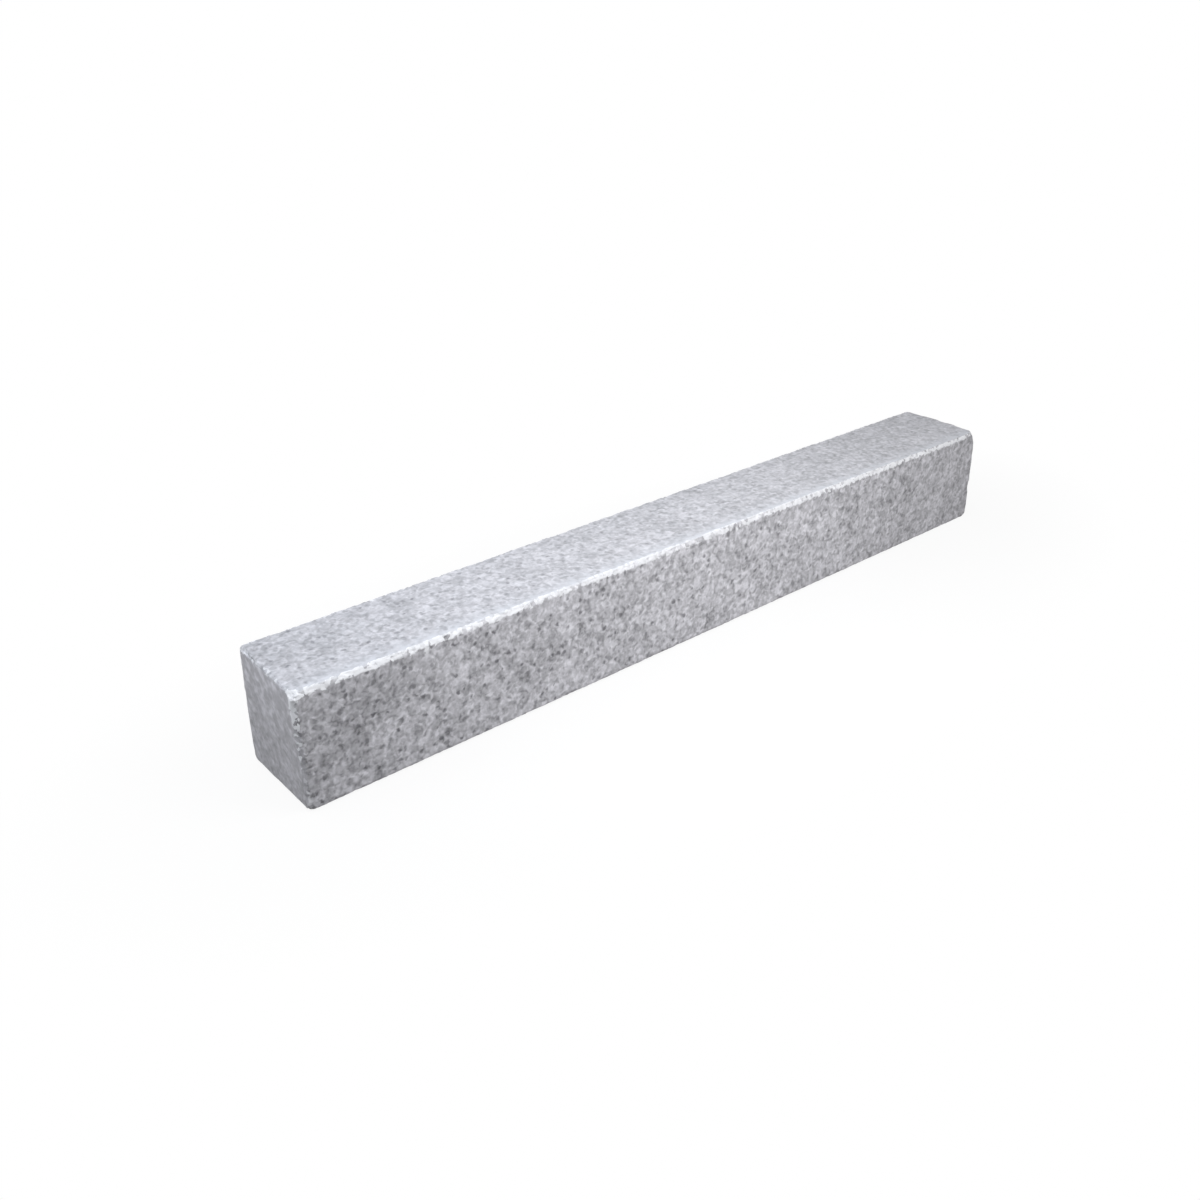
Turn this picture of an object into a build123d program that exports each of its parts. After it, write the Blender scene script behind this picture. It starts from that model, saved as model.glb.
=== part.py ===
"""Granite kerb stone: one straight length of sawn granite with bevelled arrises.

The block is sawn square on all six sides. Every arris is then bevelled so that it
doesn't chip when the stone is handled and laid: widest round the top that shows, a
little less on the upright corners, and least round the bed that goes in the concrete.

Millimetres, +Z up. +X runs along the kerb line, -Y is the face towards the road.
The origin is the middle of the bed, the underside that the stone rests on.
"""

import os

from build123d import *

# Sawn size of the stone
length = 1000.0
width = 115.0
height = 125.0

# Leg of each 45 degree bevel, measured along either face from the sharp corner
upright_arris = 4.0
top_arris = 5.0
bed_arris = 3.0

with BuildPart() as kerb_stone:
    # Plan of the stone, with its four upright corners taken off
    with BuildSketch(Plane.XY):
        Rectangle(length, width)
        chamfer(vertices(), length=upright_arris)
    extrude(amount=height)

    # Bevels that run round the whole top and the whole bed, mitred at the corners
    level_edges = edges().filter_by(Plane.XY).group_by(Axis.Z)
    chamfer(level_edges[-1], length=top_arris)
    chamfer(level_edges[0], length=bed_arris)

kerb_stone.part.label = "kerb_stone"

os.makedirs("parts", exist_ok=True)
export_step(kerb_stone.part, "parts/kerb_stone.step")
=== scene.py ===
"""The granite kerb stone's looks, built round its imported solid. Metres, in the part's own frame."""
import math

import bpy
import numpy as np
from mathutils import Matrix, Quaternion, Vector, noise


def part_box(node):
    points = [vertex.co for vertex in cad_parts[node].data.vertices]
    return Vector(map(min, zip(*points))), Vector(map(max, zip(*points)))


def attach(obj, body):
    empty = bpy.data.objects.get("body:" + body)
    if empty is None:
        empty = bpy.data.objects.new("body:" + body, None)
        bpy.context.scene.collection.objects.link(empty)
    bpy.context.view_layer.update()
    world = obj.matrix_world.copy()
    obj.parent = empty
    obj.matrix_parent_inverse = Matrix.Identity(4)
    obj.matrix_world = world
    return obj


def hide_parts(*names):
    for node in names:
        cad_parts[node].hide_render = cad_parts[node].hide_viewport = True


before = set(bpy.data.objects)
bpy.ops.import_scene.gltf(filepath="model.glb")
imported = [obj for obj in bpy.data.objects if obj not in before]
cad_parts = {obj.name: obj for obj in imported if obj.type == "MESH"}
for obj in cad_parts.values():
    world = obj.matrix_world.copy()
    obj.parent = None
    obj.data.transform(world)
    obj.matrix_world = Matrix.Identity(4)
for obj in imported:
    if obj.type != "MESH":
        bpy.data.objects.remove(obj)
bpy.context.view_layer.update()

# Kerb stone
# One length of medium-grained grey granite, cut by a diamond saw on all six sides.
# The arrises are bevelled by hand, so they run a little uneven and break grain by grain.
MM = 0.001
low, high = (np.array(corner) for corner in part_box("kerb_stone"))
middle = (low + high) / 2
half = (high - low) / 2

# Legs of the bevels along the faces. The long ones are worked, the others are only knocked off.
road_face_leg = 5.6 * MM
road_top_leg = 2.9 * MM
back_top_leg = 4.5 * MM
end_top_leg = 2.4 * MM
upright_leg = 2.8 * MM
bed_leg = 3 * MM

# Mesh lines lie close together as far in as the bevels reach, and wider apart across the faces
bevel_reach = 9 * MM
bevel_step = 0.75 * MM
face_step = 9 * MM
length_step = 1.5 * MM


def mesh_lines(start, end, wide_step):
    """Places of the mesh lines along one edge of the block, closer together in the bevels at its ends."""
    close = round(bevel_reach / bevel_step)
    wide = round((end - start - 2 * bevel_reach) / wide_step)
    return np.concatenate([
        np.linspace(start, start + bevel_reach, close, endpoint=False),
        np.linspace(start + bevel_reach, end - bevel_reach, wide, endpoint=False),
        np.linspace(end - bevel_reach, end, close + 1),
    ])


wide_steps = (length_step, face_step, face_step)
lines = [mesh_lines(low[axis], high[axis], wide_steps[axis]) for axis in range(3)]
counts = [len(line) for line in lines]

# Every crossing of mesh lines on the skin of the sharp block gets one number
on_skin = np.ones(counts, bool)
on_skin[1:-1, 1:-1, 1:-1] = False
number = np.full(counts, -1)
number[on_skin] = np.arange(on_skin.sum())
crossings = np.argwhere(on_skin)
sharp = np.stack([lines[axis][crossings[:, axis]] for axis in range(3)], axis=1)

quads = []
for axis in range(3):
    for side in (0, -1):
        sheet = np.take(number, side, axis=axis)
        corners = [sheet[:-1, :-1], sheet[1:, :-1], sheet[1:, 1:], sheet[:-1, 1:]]
        turned = (side == 0) != (axis == 1)
        quads.append(np.stack(corners[::-1] if turned else corners, axis=-1).reshape(-1, 4))
quads = np.concatenate(quads)


def rough(points, size, seed):
    """Smooth noise from -1 to 1 at each point, with lumps about that size."""
    return np.array([noise.noise(Vector(point)) for point in points / size + seed])


def grains(points, size, seed):
    """One number from -1 to 1 for each crystal of about that size, the same all over the crystal."""
    apart = 7.3  # sets the centres far enough apart that two neighbours seldom draw the same number
    centres = [noise.voronoi(Vector(point))[1][0] for point in points / size + seed]
    return np.array([noise.cell(centre * apart) for centre in centres])


# What the saw and the hand tools left, each as a depth under the true face or bevel
wave_depth = 0.06 * MM
wander_depth = 0.9 * MM
grain_depth = 1.0 * MM
bite_depth = 5 * MM
bite_start = 0.3
chip_depth = 1.0 * MM
saw_waves = wave_depth * (1 + rough(sharp, size=30 * MM, seed=3.1))
wander = wander_depth * rough(sharp, size=26 * MM, seed=5.3)
broken_grains = grain_depth * grains(sharp, size=4 * MM, seed=1.9)
bites = bite_depth * np.maximum(rough(sharp, size=9 * MM, seed=7.7) - bite_start, 0)
uneven = wander + broken_grains + bites
chips = chip_depth * grains(sharp, size=7 * MM, seed=4.3)

# The road bevel runs out towards the right end, and the uprights flare to the top
along = (sharp - middle)[:, 0] / half[0]
road_run_out = 1.6 * MM
run_out = road_run_out * np.clip(along, 0, 1)
flare_leg = 2.6 * MM
flare_height = 20 * MM
flare = flare_leg * np.exp((sharp[:, 2] - high[2]) / flare_height)

# The left end was sawn a little out of true, so it lies back towards its upper back corner, and the top falls
# towards the road where it nears the right end
left_lean = 4.2 * MM
top_fall = 3.4 * MM
fall_start = -0.4
share_back, share_up = ((sharp - low) / (high - low))[:, 1:].T
left_half = along < 0
back_half = share_back > 0.5
upper_half = share_up > 0.5
lower_half = share_up < 0.5
lean = left_lean * share_back * share_up * left_half
fall = top_fall * (1 - share_back) ** 2 * np.clip((along - fall_start) / (1 - fall_start), 0, 1)

# Little is off the points of the back corners at the top, more off those of the bed, which the stone was
# tipped on, and most off the upper road corners, which took the knocks
back_corner_leg = 7.6 * MM
bed_corner_leg = 9 * MM
road_corner_leg = 12.5 * MM
corner_leg = np.where(back_half, back_corner_leg, road_corner_leg)
corner_leg[lower_half] = bed_corner_leg
corner_leg = corner_leg + lean + fall * upper_half + uneven

# The stone is what lies inside every face and every bevel; where two meet, the shoulder is a little rounded.
# The bevels round the bed run less jagged than the others.
shoulder = 0.25 * MM
bed_jagged = 0.4
core = np.clip(sharp, low + bevel_reach, high - bevel_reach)
inward = core - sharp
bevels = []
for first, second in ((0, 1), (0, 2), (1, 2)):
    for first_sign in (-1, 1):
        for second_sign in (-1, 1):
            steepness = 1.0
            jagged = 1.0
            if second == 1:
                leg = upright_leg + flare + chips * (1 - share_back) * left_half
            elif second_sign < 0:
                leg = bed_leg
                jagged = bed_jagged
            elif first == 0:
                leg = end_top_leg + chips
            elif first_sign > 0:
                leg = back_top_leg
            else:
                leg = road_face_leg - run_out
                steepness = road_face_leg / road_top_leg
            if first == 0:
                leg = leg + lean
            if second == 2 and second_sign > 0:
                leg = leg + fall
            bevels.append((first, first_sign, second, second_sign, steepness, leg + jagged * uneven))


def inside_bevel(points, bevel):
    """How far each point lies inside a bevel, square to it."""
    first, first_sign, second, second_sign, steepness, leg = bevel
    first_depth = half[first] - first_sign * points[:, first]
    second_depth = half[second] - second_sign * points[:, second]
    return (steepness * first_depth + second_depth - leg) / np.sqrt(steepness ** 2 + 1)


def outside(share):
    """How far each point stands outside the stone when pulled in by that share of the way to the core."""
    pulled = sharp + inward * share[:, None] - middle
    over = [(np.abs(pulled) - half)[:, axis] + saw_waves for axis in range(3)]
    over[0] = over[0] + lean
    over[2] = over[2] + fall * upper_half
    for bevel in bevels:
        over.append(-inside_bevel(pulled, bevel))
    over.append((np.abs(pulled).sum(axis=1) - half.sum() + corner_leg) / math.sqrt(3))
    over = np.stack(over) / shoulder
    most = over.max(axis=0)
    return shoulder * (most + np.log(np.exp(over - most).sum(axis=0)))


# Each crossing is pulled in along its line to the core until it lies on the stone
near = np.zeros(len(sharp))
far = np.ones(len(sharp))
halvings = 22
for halving in range(halvings):
    share = (near + far) / 2
    still_out = outside(share) > 0
    near = np.where(still_out, share, near)
    far = np.where(still_out, far, share)
worn = sharp + inward * far[:, None]

# A nick across the top of the road face, where a strap or a pinch bar caught the arris
nick_place = np.array([40, 0, 113]) * MM
nick_width = 2.6 * MM
nick_length = 9 * MM
nick_depth = 2.2 * MM
across = np.abs(worn - nick_place)[:, 0] / nick_width
down = np.abs(worn - nick_place)[:, 2] / nick_length
on_road_face = worn[:, 1] < low[1] + road_top_leg
nicked = on_road_face * np.clip(1 - across, 0, 1) * np.clip(1 - down, 0, 1)
worn[:, 1] += nick_depth * nicked

stone_mesh = bpy.data.meshes.new("kerb_stone_skin")
stone_mesh.from_pydata(worn.tolist(), [], quads.tolist())
stone_mesh.polygons.foreach_set("use_smooth", np.ones(len(quads), bool))
stone_mesh.update()
stone = bpy.data.objects.new("stone", stone_mesh)
bpy.context.scene.collection.objects.link(stone)

# Share of the crystals that are bruised at each point: about two thirds on the long top bevels, fewer on the
# others, and ever fewer down the uprights, where the bruises also reach a little way into the end.
# Up the uprights and on the upper corners this paleness is partly bruising and partly a painted highlight,
# standing in for lamp light that barely reaches them
worked_share = 0.64
end_top_share = 0.3
bed_share = 0.15
upright_share, more_at_top, less_at_back = 0.08, 0.75, 0.6
knock_height = 60 * MM
bruise_reach = 1.1 * MM
end_bruise_reach = 4.2 * MM
depths = half - np.abs(worn - middle)
on_end = depths.argmin(axis=1) == 0
# Painted highlight: the uprights are painted paler towards the top, where little lamp light reaches them
knocked_and_lit = upright_share + more_at_top * np.exp((worn[:, 2] - high[2]) / knock_height)
knocked_and_lit = knocked_and_lit * (1 - less_at_back * share_back)
bruised = np.zeros(len(worn))
for bevel in bevels:
    first, _, second, second_sign = bevel[:4]
    reach = bruise_reach
    if second == 1:
        share = knocked_and_lit
        reach = np.where(on_end, end_bruise_reach, bruise_reach)
    elif second_sign < 0:
        share = bed_share
    elif first == 0:
        share = end_top_share
    else:
        share = worked_share
    beyond_bevel = inside_bevel(worn - middle, bevel)
    bruised = np.maximum(bruised, share * np.clip(1 - beyond_bevel / reach, 0, 1))
beyond_corner = half.sum() - np.abs(worn - middle).sum(axis=1) - corner_leg
bruised = np.maximum(bruised, knocked_and_lit * np.clip(1 - beyond_corner / bruise_reach, 0, 1))

# The top is painted paler and bluer all over, partly dust from dressing and partly painted sheen, and more so
# towards its road edge; the ends keep a film of dried saw slurry, thicker higher up and painted darker lower
# down, as painted shade towards the bed
top_dressed = 0.28
road_edge_dressed = 0.62
road_edge_width = 28 * MM
near_road = np.clip(1 - (worn[:, 1] - low[1]) / road_edge_width, 0, 1)
on_top = (depths.argmin(axis=1) == 2) & (worn[:, 2] > middle[2])
dressed = on_top * (top_dressed + road_edge_dressed * near_road ** 2)
low_film_and_shade, thick = 0.9, 1.6
slurry_film = on_end * (low_film_and_shade + (thick - low_film_and_shade) * share_up)

# The nick is painted dark grey, as painted shade in its hollow. The bevels' pale powder is painted thinner in
# the middle of the stone and fuller towards its ends, as painted light along the band
bruised *= 1 - nicked
powder_at_ends, powder_in_middle = 0.95, 0.5
powder = powder_in_middle + (powder_at_ends - powder_in_middle) * np.abs(along)
surface = {"bruised": bruised, "powder": powder, "dressed": dressed, "slurry": slurry_film, "grime": nicked}
for name, amount in surface.items():
    stone_mesh.attributes.new(name, "FLOAT", "POINT").data.foreach_set("value", amount.astype(np.float32))


def linear(hex_colour):
    """A hex colour as Blender's linear RGBA."""
    parts = [int(hex_colour[i:i + 2], 16) / 255 for i in (1, 3, 5)]
    return [p / 12.92 if p <= 0.04045 else ((p + 0.055) / 1.055) ** 2.4 for p in parts] + [1]


def add_node(material, kind, settings=None, **inputs):
    """Adds one node. Settings are its own properties. Inputs are its sockets, by name or as _number,
    each with a value, the socket that feeds it, or the node whose first output feeds it."""
    node = material.node_tree.nodes.new("ShaderNode" + kind)
    for name, value in (settings or {}).items():
        setattr(node, name, value)
    for name, value in inputs.items():
        socket = node.inputs[int(name[1:]) if name.startswith("_") else name.replace("_", " ")]
        if isinstance(value, bpy.types.Node):
            value = value.outputs[0]
        if isinstance(value, bpy.types.NodeSocket):
            material.node_tree.links.new(value, socket)
        else:
            socket.default_value = value
    return node


# Grey granite, sawn: white and grey feldspar and smokier quartz side by side, with black mica between them.
# The eye sees salt and pepper, a dull sheen at a flat angle, and paler bruised stone along the bevels, partly
# painted light; the pale veil on the top is partly painted sheen, and the left end, the lower part of each
# end and the nick carry painted shade.
granite = bpy.data.materials.new("sawn_grey_granite")
granite.use_nodes = True
granite.node_tree.nodes.clear()
place = add_node(granite, "TexCoord").outputs["Object"]

# Crystals have ragged outlines, so every pattern of crystals is drawn on a place that wanders a little
ragged_size = 5.0 * MM
ragged_reach = 5.6 * MM
noise_middle = (0.5, 0.5, 0.5)
wandering = add_node(granite, "TexNoise", None, Vector=place, Scale=1 / ragged_size, Detail=1.0)
wandering = add_node(granite, "VectorMath", {"operation": "SUBTRACT"},
                     _0=wandering.outputs["Color"], _1=noise_middle)
wandering = add_node(granite, "VectorMath", {"operation": "SCALE"}, _0=wandering, Scale=ragged_reach)
ragged = add_node(granite, "VectorMath", {"operation": "ADD"}, _0=place, _1=wandering)

# Quartz and feldspar have grown into each other, so the grey is cloudy at the size of a crystal, over half a
# hand's breadth and in fine grains: pattern size, how far it swings the grey either way, how much it swirls
clouds = ((6.8 * MM, 0.58, 0.9), (45 * MM, 0.19, 0.0), (2.4 * MM, 0.14, 0.0))
shade = 1.0
for cloud_size, cloud_reach, swirl in clouds:
    cloud = add_node(granite, "TexNoise", None, Vector=place, Scale=1 / cloud_size, Detail=0.0,
                     Distortion=swirl)
    swing = add_node(granite, "MapRange", {"clamp": False}, Value=cloud,
                     To_Min=-cloud_reach, To_Max=cloud_reach)
    shade = add_node(granite, "Math", {"operation": "ADD"}, _0=shade, _1=swing)

# Painted shade: the block is painted a little darker towards its left end, standing in for light that falls
# off there
darker_end, even_from = -0.46, -0.32
left_end_shade = -0.15
along_stone = add_node(granite, "SeparateXYZ", None, Vector=place).outputs["X"]
swing = add_node(granite, "MapRange", {"interpolation_type": "SMOOTHSTEP"}, Value=along_stone,
                 From_Min=darker_end, From_Max=even_from, To_Min=left_end_shade, To_Max=0.0)
shade = add_node(granite, "Math", {"operation": "ADD"}, _0=shade, _1=swing)

# Each crystal is one step paler or darker than its neighbours
crystal_size = 4.2 * MM
crystal_reach = 0.17
crystal = add_node(granite, "TexVoronoi", None, Vector=ragged, Scale=1 / crystal_size)
crystal_pick = add_node(granite, "SeparateColor", None, Color=crystal.outputs["Color"])
swing = add_node(granite, "MapRange", None, Value=crystal_pick.outputs["Red"],
                 To_Min=-crystal_reach, To_Max=crystal_reach)
shade = add_node(granite, "Math", {"operation": "ADD"}, _0=shade, _1=swing)
body = add_node(granite, "VectorMath", {"operation": "SCALE"}, _0=linear("#bab9be")[:3], Scale=shade)

# Black mica: one flake to a cell, some of them faint because they lie under the cut, and fewer to the right
flake_spacing = 7.6 * MM
flake_middle, flake_rim = 0.12, 0.48
faintest, darkest = 0.15, 0.95
flake = add_node(granite, "TexVoronoi", None, Vector=ragged, Scale=1 / flake_spacing)
flake_pick = add_node(granite, "SeparateColor", None, Color=flake.outputs["Color"])
flake_shape = add_node(granite, "MapRange", {"interpolation_type": "SMOOTHSTEP"},
                       Value=flake.outputs["Distance"],
                       From_Min=flake_middle, From_Max=flake_rim, To_Min=1.0, To_Max=0.0)
flake_dark = add_node(granite, "MapRange", None, Value=flake_pick.outputs["Red"],
                      From_Min=faintest, From_Max=1.0, To_Min=0.0, To_Max=darkest)
mica = add_node(granite, "Math", {"operation": "MULTIPLY"}, _0=flake_dark, _1=flake_shape)
thick_at, thin_at = -0.42, 0.3
thinnest = 0.58
thinning = add_node(granite, "MapRange", None, Value=along_stone, From_Min=thick_at, From_Max=thin_at,
                    To_Min=1.0, To_Max=thinnest)
mica = add_node(granite, "Math", {"operation": "MULTIPLY"}, _0=mica, _1=thinning)

# A Mix node takes its share on socket 0 and its two colours on 6 and 7, and gives the mix on output 2
speckled = add_node(granite, "Mix", {"data_type": "RGBA"}, _0=mica, _6=body, _7=linear("#4c4b50"))

# Saw slurry dries to a thin grey film in soft blotches, wider than high; the film is painted thinner and
# darker low on the end, as painted shade towards the bed
film_share = 0.47
shaded_low_film = 0.66
film_wide, film_high = 12 * MM, 9 * MM
film_base, film_patch = 0.97, 0.85
patch_rim, patch_middle = 0.43, 0.77
slurry = add_node(granite, "Attribute", {"attribute_name": "slurry"}).outputs["Fac"]
film_here = add_node(granite, "Math", {"operation": "MULTIPLY"}, _0=slurry, _1=film_share)
film_place = add_node(granite, "VectorMath", {"operation": "DIVIDE"},
                      _0=place, _1=(film_wide, film_wide, film_high))
blotch = add_node(granite, "TexNoise", None, Vector=film_place, Scale=1.0, Detail=1.0)
swing = add_node(granite, "MapRange", {"interpolation_type": "SMOOTHSTEP"}, Value=blotch,
                 From_Min=patch_rim, From_Max=patch_middle, To_Min=film_base, To_Max=film_base + film_patch)
# Painted shade: the film's tone falls towards the bed of the end
film_depth_and_shade = add_node(granite, "MapRange", None, Value=slurry, From_Min=low_film_and_shade, From_Max=thick,
                      To_Min=shaded_low_film, To_Max=1.0)
swing = add_node(granite, "Math", {"operation": "MULTIPLY"}, _0=swing, _1=film_depth_and_shade)
film = add_node(granite, "VectorMath", {"operation": "SCALE"}, _0=linear("#bcbbc0")[:3], Scale=swing)
filmed = add_node(granite, "Mix", {"data_type": "RGBA"}, _0=film_here, _6=speckled.outputs[2], _7=film)

# A bruise crushes whole crystals to pale powder and leaves their neighbours, and along the bevels and
# uprights that paleness is partly painted light; dressing leaves dust in patches, which on the top also
# stands partly for painted sheen
bruise_rim = 0.6
bruised_share = add_node(granite, "Attribute", {"attribute_name": "bruised"}).outputs["Fac"]
hit = add_node(granite, "Math", {"operation": "MULTIPLY"}, _0=bruised_share, _1=1 + bruise_rim)
hit = add_node(granite, "Math", {"operation": "SUBTRACT"}, _0=hit, _1=crystal_pick.outputs["Blue"])
# Painted light: the powder left on the bevels is thinner in the middle of the stone, where the front lamp
# falls strongest, and fuller at its ends
powder_left = add_node(granite, "Attribute", {"attribute_name": "powder"}).outputs["Fac"]
crushed_and_lit = add_node(granite, "MapRange", {"interpolation_type": "SMOOTHSTEP"}, Value=hit,
                   From_Min=0.0, From_Max=bruise_rim, To_Min=0.0, To_Max=powder_left)
dust_size = 9 * MM
least_dust, most_dust = 0.3, 1.7
dust = add_node(granite, "TexNoise", None, Vector=place, Scale=1 / dust_size, Detail=1.0)
dust = add_node(granite, "MapRange", None, Value=dust, To_Min=least_dust, To_Max=most_dust)
# Painted sheen: the pale bluish dust on the top stands partly for the sheen it shows at a flat angle
dressed_share = add_node(granite, "Attribute", {"attribute_name": "dressed"}).outputs["Fac"]
dust_and_sheen_amount = add_node(granite, "Math", {"operation": "MULTIPLY", "use_clamp": True}, _0=dressed_share, _1=dust)
dusty_and_sheened = add_node(granite, "Mix", {"data_type": "RGBA"}, _0=dust_and_sheen_amount,
                 _6=filmed.outputs[2], _7=linear("#d2d5dc"))
powdered = add_node(granite, "Mix", {"data_type": "RGBA"}, _0=crushed_and_lit,
                    _6=dusty_and_sheened.outputs[2], _7=linear("#f5f6f9"))
# Painted shade: the nick is mixed towards dark grey where shade falls in its hollow
grime_share = add_node(granite, "Attribute", {"attribute_name": "grime"}).outputs["Fac"]
stone_colour = add_node(granite, "Mix", {"data_type": "RGBA"}, _0=grime_share,
                        _6=powdered.outputs[2], _7=linear("#77767a"))

# Grains stand and lie by a fraction of a millimetre, less where slurry fills the hollows between them, and
# quartz and mica shine more than feldspar
grain_size = 1.9 * MM
grain_height = 0.16 * MM
grain_under_film = 0.3
quartz_roughness, feldspar_roughness = 0.5, 0.66
quartz_ior = 1.54
grain = add_node(granite, "TexNoise", None, Vector=place, Scale=1 / grain_size, Detail=3.0)
relief = add_node(granite, "MapRange", None, Value=slurry, From_Max=thick,
                  To_Min=1.0, To_Max=grain_under_film)
bump = add_node(granite, "Bump", None, Height=grain, Distance=grain_height, Strength=relief)
gloss = add_node(granite, "MapRange", None, Value=crystal_pick.outputs["Green"],
                 To_Min=quartz_roughness, To_Max=feldspar_roughness)
skin = add_node(granite, "BsdfPrincipled", None, Base_Color=stone_colour.outputs[2], Roughness=gloss,
                IOR=quartz_ior, Normal=bump)
add_node(granite, "OutputMaterial", None, Surface=skin)

stone_mesh.materials.append(granite)
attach(stone, "root")
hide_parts("kerb_stone")

# Floor
# A wide sheet of white paper, matt, that the stone lies on. The eye sees it white, with the stone's soft
# shadow close to it; light that falls on it comes back to the stone as from pale grey.
floor_half = 30.0
floor_corners = [(-floor_half, -floor_half, 0), (floor_half, -floor_half, 0),
                 (floor_half, floor_half, 0), (-floor_half, floor_half, 0)]
floor_mesh = bpy.data.meshes.new("floor_sheet")
floor_mesh.from_pydata(floor_corners, [], [(0, 1, 2, 3)])
floor = bpy.data.objects.new("floor", floor_mesh)
bpy.context.scene.collection.objects.link(floor)

# White paper, matt: the eye sees plain white away from the stone, and near it some of the paper's own shade
paper = bpy.data.materials.new("white_paper")
paper.use_nodes = True
paper.node_tree.nodes.clear()
shadow_reach = (0.78, 0.36, 1.0)
shadow_middle, shadow_rim = 0.5, 1.0
white_near = 0.86


def add_seen(material):
    """Adds the nodes that give 1 for what the eye sees, straight or in gloss or glass, and otherwise 0."""
    path = add_node(material, "LightPath")
    seen = path.outputs["Is Camera Ray"]
    for ray in ("Is Glossy Ray", "Is Transmission Ray"):
        seen = add_node(material, "Math", {"operation": "MAXIMUM"}, _0=seen, _1=path.outputs[ray])
    return seen


floor_seen = add_seen(paper)
floor_place = add_node(paper, "TexCoord").outputs["Object"]
floor_place = add_node(paper, "VectorMath", {"operation": "DIVIDE"}, _0=floor_place, _1=shadow_reach)
from_stone = add_node(paper, "VectorMath", {"operation": "LENGTH"}, _0=floor_place).outputs["Value"]
white_share = add_node(paper, "MapRange", None, Value=from_stone,
                       From_Min=shadow_middle, From_Max=shadow_rim, To_Min=white_near, To_Max=1.0)
white_share = add_node(paper, "Math", {"operation": "MULTIPLY"}, _0=white_share, _1=floor_seen)
paper_colour = add_node(paper, "Mix", {"data_type": "RGBA"}, _0=floor_seen,
                        _6=linear("#bcbcbc"), _7=linear("#f4f4f4"))
matt = add_node(paper, "BsdfDiffuse", None, Color=paper_colour.outputs[2])
white = add_node(paper, "Emission", None, Strength=1.0)
mixed = add_node(paper, "MixShader", None, _0=white_share, _1=matt, _2=white)
add_node(paper, "OutputMaterial", None, Surface=mixed)
floor_mesh.materials.append(paper)

# Light
# Soft daylight all round, a broad cool lamp over the left part of the stone, a smaller one before its road
# face and a weak one low behind it, all too broad to throw hard shadows.
world = bpy.data.worlds.new("daylight")
bpy.context.scene.world = world
world.use_nodes = True
world.node_tree.nodes.clear()
ambient = 0.27
level = add_node(world, "MapRange", None, Value=add_seen(world), To_Min=ambient, To_Max=1.0)
sky = add_node(world, "Background", None, Color=(1, 1, 1, 1), Strength=level)
add_node(world, "OutputWorld", None, Surface=sky)

# Each lamp's name, colour, breadth, watts and place
lamp_aim = Vector((0, 0, 0.06))
for lamp_name, colour, across_lamp, watts, stand in (
    ("overhead_lamp", "#f2f7ff", 0.9, 3.55, (-0.6, 0.0, 0.7)),
    ("front_lamp", "#ffffff", 0.6, 4.25, (0.03, -0.5, 0.59)),
    ("back_lamp", "#ffffff", 0.5, 2.8, (0.2, 0.9, 0.3)),
):
    lamp_data = bpy.data.lights.new(lamp_name, "AREA")
    lamp_data.shape = "DISK"
    lamp_data.size = across_lamp
    lamp_data.energy = watts
    lamp_data.color = linear(colour)[:3]
    lamp = bpy.data.objects.new(lamp_name, lamp_data)
    lamp.location = stand
    lamp.rotation_mode = "QUATERNION"
    lamp.rotation_quaternion = (lamp_aim - lamp.location).to_track_quat("-Z", "Y")
    lamp.visible_camera = False
    lamp.visible_glossy = lamp_name != "back_lamp"
    bpy.context.scene.collection.objects.link(lamp)

# Camera
# It stands in front of the left end, about as high as a table, and looks down along the stone.
# It leans a little to one side, as a camera held in the hand does.
camera_data = bpy.data.cameras.new("camera")
camera_data.lens = 34.714
camera_data.sensor_width = 36
camera = bpy.data.objects.new("camera", camera_data)
camera.location = (-0.82591, -0.87857, 0.63874)
aim = Vector((-0.07552, 0.04232, 0.03089))
roll = math.radians(-1.575)
camera.rotation_mode = "QUATERNION"
camera.rotation_quaternion = (aim - camera.location).to_track_quat("-Z", "Y") @ Quaternion((0, 0, 1), roll)
bpy.context.scene.collection.objects.link(camera)
bpy.context.scene.camera = camera

bpy.context.scene.view_settings.view_transform = "Standard"
